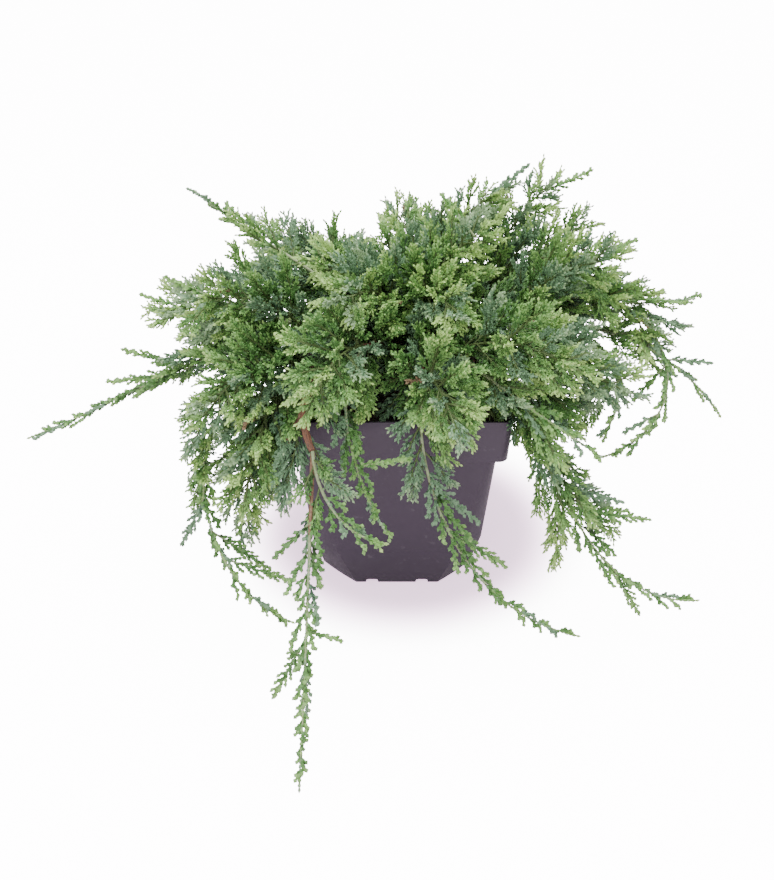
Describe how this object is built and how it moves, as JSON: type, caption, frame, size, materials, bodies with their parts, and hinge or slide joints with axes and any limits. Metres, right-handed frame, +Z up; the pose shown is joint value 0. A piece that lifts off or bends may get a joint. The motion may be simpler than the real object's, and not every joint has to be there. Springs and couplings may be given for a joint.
{
  "type": "potted creeping juniper",
  "caption": "Low spreading conifer with a dense domed crown and long trailing shoots, in a dark square plastic nursery pot.",
  "frame": {"origin": "middle of the pot's flat underside", "axes": "+Z up, -Y the front of the plant, +X to the right seen from the front"},
  "size_m": [0.4788, 0.5021, 0.2777],
  "materials": {
    "pot_plastic": "dark purplish charcoal moulded plastic, satin, lightly scuffed",
    "soil": "moist dark brown potting soil with crumbs of bark",
    "bark": "reddish brown flaking bark, grey brown on the trunk",
    "foliage": "matt scale leaves, blue green inside, mid green outside, yellow green at the growing tips"
  },
  "bodies": {
    "root": {"pot": "pot_plastic", "soil": "soil", "trunk": "bark", "bough_right": "bark", "bough_back_right": "bark", "bough_back": "bark", "bough_back_left": "bark", "bough_left_high": "bark", "bough_left": "bark", "bough_left_low": "bark", "bough_front_left": "bark", "bough_front": "bark", "bough_front_middle": "bark", "bough_front_right": "bark", "bough_right_low": "bark", "shoot_left": "foliage", "shoot_left_upper": "foliage", "shoot_left_high": "foliage", "shoot_left_low_inner": "foliage", "shoot_left_low_outer": "foliage", "shoot_left_inner": "foliage", "shoot_front_left": "foliage", "shoot_front_short": "foliage", "shoot_front_pale": "foliage", "shoot_front_inner": "foliage", "shoot_front_outer": "foliage", "shoot_front_right": "foliage", "shoot_right_low_inner": "foliage", "shoot_right_low_outer": "foliage", "shoot_right_inner": "foliage", "shoot_right_curl_inner": "foliage", "shoot_right_curl_outer": "foliage", "shoot_right": "foliage", "shoot_right_upper": "foliage", "shoot_back_right": "foliage", "shoot_back": "foliage", "shoot_back_left": "foliage", "tuft_top_front": "foliage", "tuft_top_right": "foliage", "tuft_top_back_right": "foliage", "tuft_top_back": "foliage", "tuft_top_left": "foliage", "tuft_top_front_left": "foliage", "tuft_right": "foliage", "tuft_back_right": "foliage", "tuft_back_right_high": "foliage", "tuft_back": "foliage", "tuft_back_left": "foliage", "tuft_left": "foliage", "tuft_left_low": "foliage", "tuft_left_front": "foliage", "tuft_front": "foliage", "tuft_front_middle": "foliage", "tuft_front_right": "foliage", "tuft_right_low": "foliage"}
  },
  "joints": []
}
